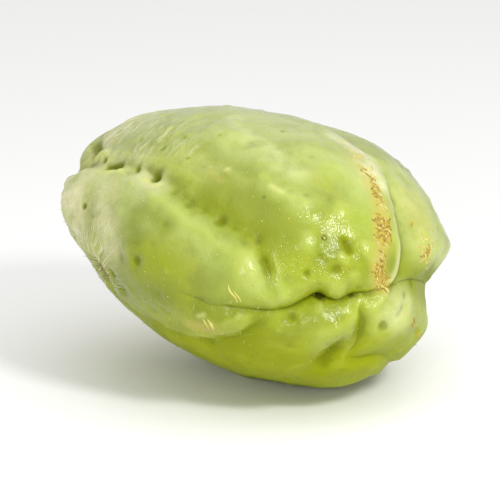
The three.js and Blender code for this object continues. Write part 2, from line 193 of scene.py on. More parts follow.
# What colours the skin, by the name of its mark: each patch has its strength, its radius and its
# route, and a route of one place makes a spot.
PATCHES = {
    # The grey bloom.
    "bloom": [(0.7, 5, [(64, 350), (57, 350), (50, 353), (44, 358)]),
        (0.2, 9, [(96, 352), (84, 0), (72, 2)]), (0.4, 6, [(12, 104), (9, 88)]),
        (0.5, 8, [(114, 62), (109, 72), (104, 84)]),
        (0.45, 5, [(118, 42), (108, 40), (101, 46), (95, 49)])],
    # Where the skin is wet-looking.
    "shine": [(1, 7, [(42, 98), (37, 108), (30, 112)])],
    # Lighter and paler greens on what stands up, and a deeper green in the furrows, partly the skin's own
    # colour and partly painted shade.
    "light": [(0.8, 6, [(100, 60), (92, 58), (84, 61), (76, 64), (69, 68), (63, 74)]),
        (0.6, 6, [(64, 84), (56, 82), (50, 84)]), (0.7, 5, [(66, 34), (58, 37), (50, 37)]),
        (0.7, 7, [(54, 10), (44, 14), (36, 24)]), (0.6, 4, [(46, 54)]), (0.5, 5, [(36, 108)]),
        (0.7, 6, [(40, 305), (58, 300), (80, 296), (104, 294)]),
        (0.7, 6, [(30, 220), (46, 226), (64, 232), (84, 232)]),
        (0.6, 5, [(48, 168), (66, 172), (86, 176)])],
    "pale": [(0.8, 4.5, [(92, 18), (85, 20), (77, 20), (70, 24), (62, 26)]),
        (0.5, 2.4, [(66, 34), (60, 37), (52, 37)]),
        (0.9, 5, [(122, 52), (110, 50), (102, 52), (94, 54)]), (0.6, 6, [(96, 60), (88, 62)]),
        (0.35, 6, [(88, 62), (77, 67), (70, 72)]), (0.6, 8, [(58, 8), (50, 4), (44, 6)]),
        (1, 4, [(70, 348), (60, 347), (54, 346), (47, 350), (38, 356)]),
        (0.8, 11, [(44, 334), (34, 340), (24, 346), (20, 330)]), (0.9, 6, [(14, 108), (10, 90)]),
        # A painted highlight on the nose.
        (0.9, 2.6, [(59, 72), (57, 79)]),
        (1, 4.5, [(91, 6), (85, 13), (79, 17), (72, 19), (66, 22), (60, 25)]), (0.5, 2.2, [(53, 39)])],
    "deep": [(0.9, 7, [(76, 46), (68, 47), (60, 50), (54, 56)]),
        (0.6, 4, [(96, 64), (91, 62), (84, 66)]), (0.5, 3.6, [(90, 28), (83, 30), (76, 32), (70, 34)]),
        (0.8, 7, [(82, 98), (92, 104), (102, 110)]), (0.8, 6, [(44, 124), (38, 122), (34, 116)]),
        (0.7, 3, [(47, 101), (41, 97), (35, 95)]), (0.7, 8, [(60, 140), (40, 146), (26, 136)]),
        (0.7, 3, [(104, 103), (102, 112)]), (0.8, 5, [(106, 124), (98, 128), (88, 130)]),
        (0.6, 9, [(70, 270), (84, 258), (100, 256)]), (0.5, 9, [(50, 190), (72, 200), (96, 200)])],
    # Where it split and healed: rusty, and yellowed round the rust.
    "rust": [(0.45, 2.6, [(50, 0), (43, 2)]), (0.65, 2.2, [(41, 4), (36, 9)]),
        (0.95, 2.8, [(31, 19), (27, 26)]), (0.55, 2.2, [(24, 36), (22, 46)]),
        (0.95, 2.7, [(22, 54), (20, 60)]), (0.85, 1.9, [(17, 63), (17, 68)]), (0.6, 1.5, [(11, 160)]),
        (0.7, 1.7, [(19, 193)]), (0.6, 1.4, [(26, 346)]), (0.6, 2.4, [(62, 222)]),
        (0.5, 3, [(32, 236), (38, 240)]), (0.5, 2.2, [(84, 312)]), (0.7, 2.4, [(15, 330)])],
    "blush": [(0.75, 3, [(70, 108), (77, 111)]), (1, 3.4, [(19, 66), (21, 56), (24, 42), (28, 26)]),
        (0.85, 3.6, [(28, 26), (36, 10), (44, 4)]), (0.5, 4.5, [(44, 4), (52, 0)]),
        (0.45, 8, [(36, 340), (22, 336)]), (0.5, 5, [(16, 336)]), (0.6, 6, [(64, 214)]),
        (0.45, 2.2, [(82, 37), (77, 40)])],
    # Deep places, painted a shade green and kept from shining, and the edges beside them, painted light.
    "dark": [(1, 2, [(97.5, 45)]), (1, 1.5, [(119, 46.5), (113, 44)]), (0.9, 1.2, [(105, 44)]),
        (1, 2.4, [(141, 26), (131, 38)]), (0.9, 1.3, [(119, 72)]), (0.9, 1.2, [(122, 43)]),
        (0.7, 2, [(57, 65), (54, 72)]), (0.8, 1.4, [(71, 56)]), (0.7, 1.6, [(92, 85)]),
        (0.7, 2, [(104, 103)]), (0.8, 1.6, [(35, 64)]), (0.8, 1.4, [(43, 70)]), (0.6, 1.6, [(46, 97)]),
        (0.6, 2, [(20, 113)]), (0.9, 1.5, [(36.5, 45.5), (33.5, 50)]), (0.7, 1.3, [(42, 49)]),
        (0.6, 1.4, [(41, 59)]), (0.8, 0.8, [(96, 26)]), (0.8, 0.7, [(86, 22)]), (0.8, 0.9, [(90, 35)]),
        (0.8, 0.8, [(100, 34)]), (0.7, 0.7, [(99, 10)])],
    "lit": [(1, 1.5, [(145, 47), (140, 45.5), (134, 43.5), (128, 41)]),
        (0.8, 1.1, [(127, 41), (122, 40.5), (120, 43)]), (1, 1.3, [(121, 51), (116, 50), (111, 47.5)]),
        (0.9, 1.1, [(100, 48.5), (97, 49.5), (94, 49)]), (0.6, 1.2, [(103, 30), (104, 26), (104, 21)]),
        (0.6, 1, [(71, 101), (73, 103)]), (0.8, 1.2, [(77, 35)]), (0.6, 1, [(63, 36), (59, 37)]),
        (0.6, 0.7, [(82, 36)])],
    # Nearly black: painted shade in the mouth's two deep holes, with the dark ring round a small wart and
    # two dark specks.
    "crease": [(1.2, 1, [(38.2, 84), (36.4, 85.2)]), (0.9, 0.8, [(28, 82.6), (26.5, 81.2)]),
        (1.1, 0.9, [(42, 49)]), (0.5, 0.7, [(84, 37)]), (0.9, 0.7, [(63, 41)])],
    # Where the skin stretched as it grew, and where pale threads have closed a split.
    "wrinkled": [(1, 6, [(126, 24), (118, 20), (110, 20)]), (1, 5, [(107, 34), (104, 28), (104, 20)]),
        (0.6, 5, [(98, 32), (92, 30)]), (0.8, 4, [(136, 38), (128, 34)])],
    "healed": [(0.45, 4, [(62, 351), (54, 355), (46, 359)]), (0.6, 3.2, [(44, 0), (37, 8), (32, 16)]),
        (0.9, 2.8, [(31, 19), (27, 26)]), (0.4, 2, [(25, 36), (23, 46)]),
        (0.9, 2.6, [(22, 54), (19, 62)]), (0.8, 4.5, [(20, 338), (14, 330)]), (0.7, 2.2, [(62, 222)]),
        (0.6, 1.8, [(26, 346)])],
    # Where short hairs are left.
    "hairy": [(1, 12, [(112, 84), (100, 104), (86, 112), (70, 116), (56, 122)]),
        (0.7, 16, [(126, 112)]), (0.7, 14, [(100, 150), (80, 190)]), (0.3, 20, [(60, 190), (40, 220)]),
        (0.3, 14, [(130, 250)])]
}


def unit(v):
    return v / np.linalg.norm(v, axis=-1, keepdims=True)


def direction(polar, around):
    """The direction of a place on the skin, from its two angles in degrees."""
    p = np.radians(polar)
    r = np.radians(around)
    return np.stack([np.cos(p), -np.sin(p) * np.sin(r), np.sin(p) * np.cos(r)], -1)


def bell(distance, radius):
    return np.exp(-((distance / radius) ** 2))


def smooth(x):
    t = np.clip(x, 0, 1)
    return t * t * (3 - 2 * t)


def body_point(u):
    """The plain fruit's points in directions u, before any fold, in millimetres."""
    x, y, z = u[..., 0], u[..., 1], u[..., 2]
    stemward = (1 - x) / 2
    half_width = WIDTH / 2 * (1 + WIDTH_TAPER * x - WIDTH_ROUNDING * x ** 2)
    half_thickness = THICKNESS / 2 * (1 + THICKNESS_TAPER * x + THICKNESS_ROUNDING * x ** 2)
    rise = STEM_RISE * stemward ** 1.5
    tuck = STEM_TUCK * stemward ** 0.95 * ((1 - z) / 2) ** 2 * (1 - TUCK_LEAN * y)
    belly = BELLY_DROP * bell(45 * np.linalg.norm(u - direction(*BELLY_AT), axis=-1), BELLY_RADIUS)
    across = half_width * y * (1 + FAR_SIDE_FULLNESS * np.maximum(y, 0))
    return np.stack([LENGTH / 2 * x, across, half_thickness * z + rise + tuck - belly], -1)


def body_normal(u):
    """The plain fruit's outward normals, from two short steps across it."""
    reference = np.where(abs(u[:, :1]) < 0.8, [[1.0, 0, 0]], [[0, 1.0, 0]])
    a = unit(np.cross(u, reference))
    b = np.cross(u, a)
    step = 1e-3
    along_a = body_point(unit(u + step * a)) - body_point(unit(u - step * a))
    along_b = body_point(unit(u + step * b)) - body_point(unit(u - step * b))
    return unit(np.cross(along_a, along_b))


def trace(route):
    """A smooth line through a route's places: its directions, its points on the body, its depths."""
    corners = np.array([[*direction(place[0], place[1]), *place[2:]] for place in route])
    ends = np.vstack([2 * corners[0] - corners[1], corners, 2 * corners[-1] - corners[-2]])
    t = (np.arange(ROUTE_STEPS) / ROUTE_STEPS)[:, None]
    pieces = []
    for i in range(len(corners) - 1):
        p0, p1, p2, p3 = ends[i:i + 4]
        piece = 0.5 * (2 * p1 + (p2 - p0) * t + (2 * p0 - 5 * p1 + 4 * p2 - p3) * t ** 2
                       + (3 * p1 - p0 - 3 * p2 + p3) * t ** 3)
        piece[:, 3:] = p1[3:] + (p2[3:] - p1[3:]) * t
        pieces.append(piece)
    line = np.vstack(pieces + [corners[-1:]])
    directions = unit(line[:, :3])
    return directions, body_point(directions), line[:, 3:].ravel()


def nearest(points, line):
    """For each point the distance to a line, the piece of it that is nearest, and how far along."""
    best = np.full(len(points), np.inf)
    index = np.zeros(len(points), int)
    share = np.zeros(len(points))
    for k in range(len(line) - 1):
        piece = line[k + 1] - line[k]
        t = np.clip((points - line[k]) @ piece / (piece @ piece), 0, 1)
        distance = np.linalg.norm(points - line[k] - t[:, None] * piece, axis=1)
        nearer = distance < best
        best[nearer] = distance[nearer]
        index[nearer] = k
        share[nearer] = t[nearer]
    return best, index, share


def close_to(points, line, reach):
    """Which points are inside the line's box, widened by reach."""
    inside = (points > line.min(0) - reach) & (points < line.max(0) + reach)
    return np.where(inside.all(1))[0]


def groove(x, edge):
    """A groove's depth from 0 at its rim to 1 at its bottom, soft or with two rolls pressed together."""
    t = np.clip(x, 0, 1)
    return (1 - edge) * smooth(t) + edge * (1 - np.sqrt(1 - t * t))


TRACES = {name: trace(fold[4]) for name, fold in FOLDS.items()}


def fold_effect(points, normals):
    """How far the folds sink each point and slide it, how near it is to a crease, or to a lip's rim."""
    sunk = np.zeros(len(points))
    slide = np.zeros((len(points), 3))
    crease_shade_mark = np.zeros(len(points))
    rim = np.zeros(len(points))
    for name, (width, edge, step, lean, _) in FOLDS.items():
        _, line, depths = TRACES[name]
        near = close_to(points, line, REACH)
        distance, i, t = nearest(points[near], line)
        piece = line[i + 1] - line[i]
        left = unit(np.cross(normals[near], piece))
        on_left = ((points[near] - line[i] - t[:, None] * piece) * left).sum(1) > 0
        depth = depths[i] + (depths[i + 1] - depths[i]) * t
        strength = depth / depths.max()
        profile = groove(1 - np.hypot(distance, BOTTOM_ROUNDING) / width, edge)
        sink = depth * profile
        if step:
            low_side = on_left if step < 0 else ~on_left
            step_here = abs(step) * strength
            lower = step_here * smooth(1 - distance / STEP_REACH) + (depth - step_here) * profile
            sink = np.where(low_side, lower, sink)
            if step > 2:
                # The proud lip's rim, for painted light along it.
                lip = np.where(low_side, 0, edge * strength * bell(distance - LIP_AT, LIP_WIDTH))
                rim[near] = np.maximum(rim[near], lip)
        sunk[near] += np.maximum(sink, 0) ** JOIN_SHARPNESS
        slide[near] += left * (lean * strength * profile ** 2)[:, None]
        # How near a point is to a crease's bottom, for a nearly black painted shade there.
        crease = edge * smooth(depth / 6) * bell(distance, CREASE_WIDTH)
        crease_shade_mark[near] = np.maximum(crease_shade_mark[near], crease)
    return sunk ** (1 / JOIN_SHARPNESS), slide, crease_shade_mark, rim


def ripple(p):
    """The slow unevenness of a grown skin."""
    x, y, z = p.T
    long = np.sin(x / 9 + 1.3 * np.sin(y / 13) + 0.6) * np.sin(z / 8 + 1.1 * np.sin(x / 15))
    short = np.sin(y / 6.1 + x / 11 + 2) * np.sin(z / 5.3 - x / 9)
    return 0.35 * long + 0.22 * short


def fine_ripple(p):
    """The small-scale unevenness, a few millimetres from crest to crest."""
    x, y, z = p.T
    wide = np.sin(x / 1.9 + 1.4 * np.sin(y / 3.1)) * np.sin(y / 1.7 + 1.2 * np.sin(z / 2.7))
    wide *= np.sin(z / 2.1 + x / 4.3)
    narrow = np.sin(x / 1.1 + 1.5 * np.sin(z / 1.6)) * np.sin(y / 0.9 - z / 1.3 + 1.1 * np.sin(x / 1.4))
    return 0.14 * wide + 0.04 * narrow


def band(points, patches):
    """How strongly a list of patches and bands covers each point."""
    cover = np.zeros(len(points))
    for strength, radius, route in patches:
        if len(route) == 1:
            line = body_point(direction(*route[0]))[None]
            near = close_to(points, line, 3 * radius)
            distance = np.linalg.norm(points[near] - line, axis=1)
        else:
            line = trace(route)[1]
            near = close_to(points, line, 3 * radius)
            distance = nearest(points[near], line)[0]
        cover[near] = np.maximum(cover[near], strength * bell(distance, radius))
    return cover


def spot_relief(points):
    """Warts, swellings and pits, and the small knobs and pits that are scattered between them."""
    height = np.zeros(len(points))
    for ridge in RIDGES:
        height += band(points, [ridge])
    sinks = [(polar, around, -depth, radius) for polar, around, depth, radius in DENTS]
    for polar, around, rise, radius in SWELLS + sinks:
        distance = np.linalg.norm(points - body_point(direction(polar, around)), axis=1)
        height += rise * bell(distance, radius)
    rng = np.random.default_rng(7)
    places = unit(rng.normal(size=(WARTS + KNOBS + SMALL_PITS, 3)))
    blossomward = places[:, 0]
    shown = places @ direction(*SHOWN_SIDE) > 0.3
    for k, centre in enumerate(body_point(places)):
        radius = rng.uniform(0.7, 1.8)
        rise = rng.uniform(0.1, 0.32)
        if k < WARTS:
            radius = rng.uniform(2.4, 4.4)
            rise = 0 if shown[k] else rng.uniform(0.5, 1.1) * smooth((blossomward[k] + 0.7) / 0.9)
        elif k >= WARTS + KNOBS:
            rise = -PIT_SHARE * rise
        near = close_to(points, centre[None], 3 * radius)
        height[near] += rise * bell(np.linalg.norm(points[near] - centre, axis=1), radius)
    return height


pit_centre = body_point(direction(*STEM_PIT_AT))
pit_outward = body_normal(direction(*STEM_PIT_AT)[None])[0]
pit_side_a = unit(np.cross(pit_outward, [0, 0, 1.0]))
pit_side_b = np.cross(pit_outward, pit_side_a)


def pit_relief(points, normals):
    """The stalk's pit, its puckers and the scar at its bottom, and how far the puckers reach."""
    offset = points - pit_centre
    distance = np.linalg.norm(offset, axis=1)
    angle = np.arctan2(offset @ pit_side_b, offset @ pit_side_a)
    wave = 0.5 + 0.5 * np.cos(PUCKERS * angle + 1.7 * np.sin(2 * angle) + 0.9 * np.sin(5 * angle))
    facing = smooth((normals @ pit_outward) / 0.4)
    reach = smooth((PUCKER_REACH - distance) / 20) * facing
    folds = wave ** 3 * smooth((distance - 1.5) / 3) * reach
    height = -STEM_PIT_DEPTH * bell(distance, STEM_PIT_RADIUS)
    height -= PUCKER_DEPTH * folds
    height += PIT_SCAR_RISE * smooth((PIT_SCAR_RADIUS - distance) / 0.9) * facing
    height += 0.25 * np.cos(9 * angle) * smooth((2.9 - distance) / 0.8) * smooth(distance / 1.5) * facing
    return height, reach


def crowd(u):
    """Moves directions towards the nearest fold, so that the mesh is finest where the skin turns."""
    points = body_point(u)
    best = np.full(len(u), np.inf)
    target = u.copy()
    for directions, line, _ in TRACES.values():
        near = close_to(points, line, CROWDED_WITHIN)
        distance, i, t = nearest(points[near], line)
        nearer = distance < best[near]
        found = near[nearer]
        best[found] = distance[nearer]
        a, b = directions[i[nearer]], directions[i[nearer] + 1]
        target[found] = unit(a + (b - a) * t[nearer][:, None])
    pull = CROWDING * bell(np.minimum(best, 100), CROWDING_REACH)
    return unit(u + (target - u) * pull[:, None])


def skin_point(u):
    """The finished skin in directions u, in millimetres, and the marks that its colours follow."""
    points = body_point(u)
    normals = body_normal(u)
    sunk, slide, crease_shade_mark, rim = fold_effect(points, normals)
    pit, puckered = pit_relief(points, normals)
    height = ripple(points) + fine_ripple(points) - sunk + spot_relief(points) + pit
    # The stalk's end has a grey bloom, and the top is the palest green: partly its own paler skin and
    # partly painted light from above.
    far_side = smooth(points[:, 1] / 30)
    upper_side = smooth((points[:, 2] - 5) / 25)
    lower_near_side = smooth((3 - points[:, 2]) / 12) * smooth((5 - points[:, 1]) / 20)
    stemward = smooth((-points[:, 0] - 6 - 14 * far_side - 8 * upper_side - 10 * lower_near_side) / 38)
    stemward = stemward * (1 - 0.25 * far_side) * (1 - 0.8 * lower_near_side)
    marks = {name: band(points, patches) for name, patches in PATCHES.items()}
    marks["bloom"] = np.maximum(stemward, marks["bloom"])
    topward = smooth((points[:, 2] - 22) / 22)
    marks["pale"] = np.maximum(marks["pale"], 0.7 * topward)
    # Low on the near side it is riper, and what is above the middle and not sunk shines.
    low = smooth((8 - points[:, 2]) / 26)
    marks["ripe"] = low * smooth((20 - points[:, 1]) / 40) * (1 - 0.5 * stemward)
    above = smooth((points[:, 2] + 22) / 26) * (1 - 0.8 * stemward)
    matt = np.clip(np.maximum(1.4 * marks["dark"], sunk / 3.5), 0, 1)
    marks["shine"] = np.maximum(above, marks["shine"]) * (1 - 0.9 * matt)
    # Painted shade: nearly black along the creases' bottoms, and deeper in colour down in the folds.
    marks["crease"] = np.maximum(crease_shade_mark, marks["crease"])
    marks["fold"] = np.clip(sunk / 4, 0, 1)
    marks["rim"] = np.clip(rim, 0, 1)
    marks["pucker"] = puckered
    marks["pores"] = smooth((points[:, 0] + 50) / 40)
    return points + normals * height[:, None] + slide, marks


def ball_grid(n):
    """Directions and four-sided faces of a ball, from the six sides of a cube."""
    t = np.tan(np.linspace(-1, 1, n + 1) * math.pi / 4)
    a, b = np.meshgrid(t, t, indexing="ij")
    corners = []
    faces = []
    for axis in range(3):
        for side in (-1, 1):
            v = np.empty((n + 1, n + 1, 3))
            v[..., axis] = side
            v[..., (axis + 1) % 3] = a * side
            v[..., (axis + 2) % 3] = b
            number = np.arange((n + 1) ** 2).reshape(n + 1, n + 1) + len(corners) * (n + 1) ** 2
            sides = [number[:-1, :-1], number[1:, :-1], number[1:, 1:], number[:-1, 1:]]
            faces.append(np.stack(sides, -1))
            corners.append(unit(v).reshape(-1, 3))
    corners = np.concatenate(corners)
    faces = np.concatenate([f.reshape(-1, 4) for f in faces])
    _, first, same = np.unique(np.round(corners, 7), axis=0, return_index=True, return_inverse=True)
    return corners[first], same.reshape(-1)[faces]


def evened(values, faces, rounds):
    """Values averaged with their neighbours' over and over, which leaves only their slow changes."""
    here = faces.ravel()
    there = np.roll(faces, -1, axis=1).ravel()
    links = np.bincount(here, minlength=len(values))
    for _ in range(rounds):
        values = 0.5 * values + 0.5 * np.bincount(here, values[there], len(values)) / links
    return values


directions, faces = ball_grid(GRID)
directions = crowd(directions)
points, marks = skin_point(directions)
# Painted shade and light: hollows are painted deeper in colour than the skin round them, and what is raised
# is painted paler.
height = ((points - body_point(directions)) * body_normal(directions)).sum(1)
below = evened(height, faces, EVENING_ROUNDS) - height
marks["hollow"] = np.clip(below / 0.5, 0, 1)
marks["raised"] = np.clip(-below / 0.35, 0, 1)
floor_level = points[:, 2].min() + REST_CUT
middle = (points.min(0) + points.max(0)) / 2
origin = np.array([middle[0], middle[1], floor_level])
# No hairs grow where it lies on the floor.
marks["hairy"] *= smooth((points[:, 2] - floor_level - HAIRLESS_HEIGHT) / 3)
points[:, 2] = np.maximum(points[:, 2], floor_level)
points = (points - origin) * MM

skin_mesh = bpy.data.meshes.new("chayote_skin")
skin_mesh.from_pydata(points.tolist(), [], faces.tolist())
skin_mesh.polygons.foreach_set("use_smooth", np.ones(len(faces), bool))
for name, values in marks.items():
    mark = skin_mesh.attributes.new(name, "FLOAT", "POINT")
    mark.data.foreach_set("value", np.ascontiguousarray(values, np.float32))
skin_mesh.update()
skin = bpy.data.objects.new("chayote_skin", skin_mesh)
bpy.context.collection.objects.link(skin)

PIT_PLACE = (pit_centre - origin) * MM
PIT_TURN = Vector(pit_outward).to_track_quat("Z", "Y").to_euler()


def feed(socket, source):
    """Joins a node's result to a socket, or sets the socket to a plain value."""
    if isinstance(source, bpy.types.NodeSocket):
        socket.id_data.links.new(source, socket)
    else:
        socket.default_value = source


class Nodes:
    """Adds nodes to a tree and joins them, so that a finish or a growth reads from top to bottom."""

    def node(self, kind, result, settings=None, **sockets):
        """Adds a node with its settings and its sockets, and gives back one of its results."""
        node = self.tree.nodes.new(kind)
        for label, value in (settings or {}).items():
            setattr(node, label, value)
        for label, value in sockets.items():
            feed(node.inputs[label.replace("_", " ")], value)
        return node.outputs[result]

    def worked(self, kind, result, operation, values):
        """Adds a node that works values out, with its sockets taken in order."""
        node = self.tree.nodes.new(kind)
        node.operation = operation
        for socket, value in zip(node.inputs, values):
            feed(socket, value)
        return node.outputs[result]

    def maths(self, operation, a, b=0.0):
        return self.worked("ShaderNodeMath", "Value", operation, (a, b))

    def times(self, a, b):
        return self.maths("MULTIPLY", a, b)

    def vector(self, operation, *values):
        return self.worked("ShaderNodeVectorMath", "Vector", operation, values)


class Shading(Nodes):
    """A finish: the nodes of one material, placed by the piece's own coordinates."""

    def __init__(self, name):
        self.material = bpy.data.materials.new(name)
        self.material.use_nodes = True
        self.tree = self.material.node_tree
        self.shader = self.tree.nodes["Principled BSDF"]
        self.place = self.tree.nodes.new("ShaderNodeTexCoord").outputs["Object"]

    def give(self, **sockets):
        """Joins or sets the finish's own sockets."""
        for label, value in sockets.items():
            feed(self.shader.inputs[label.replace("_", " ")], value)

    def stretched(self, scale):
        return self.node("ShaderNodeMapping", "Vector", Vector=self.place, Scale=scale)

    def noise(self, size, detail=3.0, roughness=0.55, place=None):
        """Cloudy noise whose patches are about size millimetres across."""
        return self.node("ShaderNodeTexNoise", "Fac", Vector=place or self.place,
                         Scale=1 / (size * MM), Detail=detail, Roughness=roughness)

    def cells(self, size):
        """The distance from the middles of cells that are about size millimetres across."""
        return self.node("ShaderNodeTexVoronoi", "Distance", Vector=self.place, Scale=1 / (size * MM))

    def mark(self, name):
        return self.node("ShaderNodeAttribute", "Fac", {"attribute_name": name})

    def spread(self, value, low, high, to_low=0.0, to_high=1.0):
        """value, with low to high made to_low to to_high, smoothly and no further."""
        return self.node("ShaderNodeMapRange", "Result", {"interpolation_type": "SMOOTHSTEP"}, Value=value,
                         From_Min=low, From_Max=high, To_Min=to_low, To_Max=to_high)

    def colour(self, share, a, b):
        """Colour a where share is 0 and b where it is 1."""
        return self.node("ShaderNodeMix", "Result", {"data_type": "RGBA"}, Factor=share, A=a, B=b)

    def stained(self, colour, stain, name, low, high, share):
        """A colour, turned to another by up to share where a mark goes from low to high."""
        return self.colour(self.spread(self.mark(name), low, high, 0, share), colour, stain)

    def spokes(self, count, waver):
        """Fine uneven lines that run out from the stem pit, 0 between them to 1 along them."""
        bend = self.node("ShaderNodeTexNoise", "Color", Vector=self.place, Scale=1 / (6 * MM))
        pit = self.node("ShaderNodeMapping", "Vector", {"vector_type": "TEXTURE"}, Vector=self.place,
                        Location=PIT_PLACE, Rotation=PIT_TURN)
        bent = self.vector("MULTIPLY_ADD", bend, (waver * MM, waver * MM, 0), pit)
        around = self.node("ShaderNodeTexGradient", "Fac", {"gradient_type": "RADIAL"}, Vector=bent)
        wave = self.maths("SINE", self.times(around, count * 2 * math.pi))
        broken = self.spread(self.noise(3.2, 2), 0.42, 0.62)
        return self.times(self.spread(wave, 0.1, 1.0), broken)

    def relief(self, height, depth, **under):
        """A bump of depth millimetres from a height of 0 to 1, on the one under it if there is one."""
        return self.node("ShaderNodeBump", "Normal", Strength=1.0, Distance=depth * MM, Height=height,
                         **under)


def waxy_skin():
    s = Shading("waxy_green_skin")
    along = s.stretched((0.35, 1, 1))
    olive = (0.195, 0.235, 0.003, 1)
    leaf_green = (0.27, 0.315, 0.006, 1)
    light_green = (0.33, 0.415, 0.055, 1)
    painted_light_green = (0.39, 0.45, 0.07, 1)
    pale_green = (0.46, 0.515, 0.18, 1)
    lit_green = (0.56, 0.58, 0.18, 1)
    lip_light_green = (0.50, 0.52, 0.22, 1)
    ripe_green = (0.37, 0.41, 0.004, 1)
    painted_shade_green = (0.14, 0.17, 0.001, 1)
    pit_shade_green = (0.19, 0.22, 0.008, 1)
    pore_green = (0.16, 0.19, 0.01, 1)
    crease_shade_black = (0.035, 0.045, 0.001, 1)
    bloom_grey = (0.72, 0.69, 0.42, 1)
    bloom_olive = (0.50, 0.51, 0.19, 1)
    bloom_green = (0.52, 0.57, 0.27, 1)
    pucker_straw = (0.78, 0.74, 0.52, 1)
    pucker_olive = (0.40, 0.40, 0.17, 1)
    stretched_straw = (0.58, 0.56, 0.28, 1)
    yellow = (0.46, 0.395, 0.075, 1)
    rust = (0.44, 0.34, 0.04, 1)
    # Greens in clouds of a few millimetres to a few centimetres.
    colour = s.colour(s.spread(s.noise(16, 3), 0.42, 0.58), olive, leaf_green)
    colour = s.colour(s.spread(s.noise(7, 4, place=along), 0.52, 0.72, 0, 0.4), colour, light_green)
    cloud = s.spread(s.noise(6, 4), 0.3, 0.6, 0.55, 1.0)
    colour = s.colour(s.times(s.mark("light"), cloud), colour, light_green)
    colour = s.colour(s.times(s.mark("pale"), cloud), colour, pale_green)
    # Painted light on what is raised.
    colour = s.stained(colour, painted_light_green, "raised", 0.2, 1, 0.5)
    colour = s.stained(colour, olive, "deep", 0.1, 0.9, 0.85)
    colour = s.stained(colour, ripe_green, "ripe", 0, 1, 0.36)
    # The dry grey bloom of the stalk's end, thin in places, and the lines of its puckers.
    thinned = s.times(s.spread(s.noise(13, 4, place=along), 0.3, 0.62, 0.35, 1.0),
                      s.spread(s.noise(4, 4), 0.28, 0.55, 0.65, 1.0))
    bloom = s.times(s.spread(s.mark("bloom"), 0, 0.8), thinned)
    dry = s.colour(s.spread(s.noise(2.6, 5, 0.65), 0.5, 0.68, 0, 0.6), bloom_grey, bloom_olive)
    dry = s.colour(s.spread(s.noise(9, 3), 0.46, 0.66, 0, 0.6), dry, bloom_green)
    spokes = s.times(s.spokes(54, 2.4), s.mark("pucker"))
    between = s.times(s.spread(spokes, 0.05, 0.2, 1, 0), s.spread(s.mark("pucker"), 0.3, 0.8))
    dry = s.colour(s.times(between, 0.5), dry, pucker_olive)
    dry = s.colour(s.spread(spokes, 0.15, 0.6, 0, 1), dry, pucker_straw)
    colour = s.colour(bloom, colour, dry)
    # Streaks where the skin has stretched, pale where they stand up and green between.
    streaks = s.noise(1.5, 3, place=s.stretched((1, 0.25, 0.5)))
    crests = s.times(s.spread(streaks, 0.52, 0.68, 0, 0.75), s.mark("wrinkled"))
    colour = s.colour(crests, colour, stretched_straw)
    troughs = s.times(s.spread(streaks, 0.34, 0.48, 0.7, 0), s.mark("wrinkled"))
    colour = s.colour(troughs, colour, leaf_green)
    # Painted light on the edges beside deep places, and painted shade in those places, in hollows and in
    # folds.
    colour = s.stained(colour, lit_green, "lit", 0.1, 0.9, 0.85)
    colour = s.stained(colour, pit_shade_green, "dark", 0.15, 0.9, 0.75)
    colour = s.stained(colour, painted_shade_green, "hollow", 0.1, 1, 0.65)
    colour = s.stained(colour, painted_shade_green, "fold", 0.3, 1, 0.5)
    # A nearly black painted shade along the creases and in the holes marked for it.
    crease = s.times(s.spread(s.mark("crease"), 0.25, 0.85), s.spread(s.noise(5, 2), 0.4, 0.6, 0.35, 1))
    colour = s.colour(crease, colour, crease_shade_black)
    # Painted light along the cleft's rounded lip.
    colour = s.stained(colour, lip_light_green, "rim", 0.1, 0.8, 0.75)
    # Dark pores here and there.
    pores = s.times(s.spread(s.cells(2.3), 0.06, 0.15, 1, 0), s.spread(s.noise(9, 2), 0.48, 0.62, 0, 0.6))
    colour = s.colour(pores, colour, pore_green)
    # Where the skin has healed it is yellowed and rusty.
    colour = s.stained(colour, yellow, "blush", 0.1, 1, 0.75)
    rusted = s.times(s.spread(s.mark("rust"), 0.1, 0.8), s.spread(s.noise(1.6, 3), 0.25, 0.55, 0.3, 1))
    colour = s.colour(s.spread(rusted, 0, 1, 0, 0.85), colour, rust)
    # Bloom and rust are rougher than the wax, which is thin and clear over soft flesh.
    rough = s.maths("ADD", s.spread(s.noise(5, 4), 0.3, 0.7, 0.36, 0.46), s.spread(bloom, 0, 1, 0, 0.2))
    rough = s.maths("ADD", rough, s.spread(rusted, 0, 1, 0, 0.2))
    fan = s.relief(s.maths("ADD", spokes, s.times(streaks, s.mark("wrinkled"))), 0.5)
    grain = s.relief(s.noise(0.42, 2), 0.06, Normal=s.relief(s.noise(0.75, 2), 0.15, Normal=fan))
    s.give(
        Base_Color=colour, Roughness=rough, IOR=1.4, Normal=grain,
        Specular_IOR_Level=s.spread(s.mark("shine"), 0, 1, 0.08, 0.2),
        Subsurface_Weight=0.12, Subsurface_Radius=(0.9, 1.0, 0.25), Subsurface_Scale=1.6 * MM,
        Coat_Weight=s.spread(s.mark("shine"), 0, 1, 0.02, 0.9), Coat_Roughness=0.14, Coat_IOR=1.4,
        Coat_Normal=grain)
    return s.material


skin_mesh.materials.append(waxy_skin())
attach(skin, "root")
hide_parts("chayote_fruit")

# ---------------------------------------------------------------------------------------------
# Cork strands. Where the skin has split and healed near the cleft, thin threads of dry brown cork
# lie tangled on it. They are scattered where the rust is, bent and laid on the skin.
# ---------------------------------------------------------------------------------------------
STRAND_POINTS = 9
STRAND_SIDES = 5
DRIFT_SIZE = 1.7


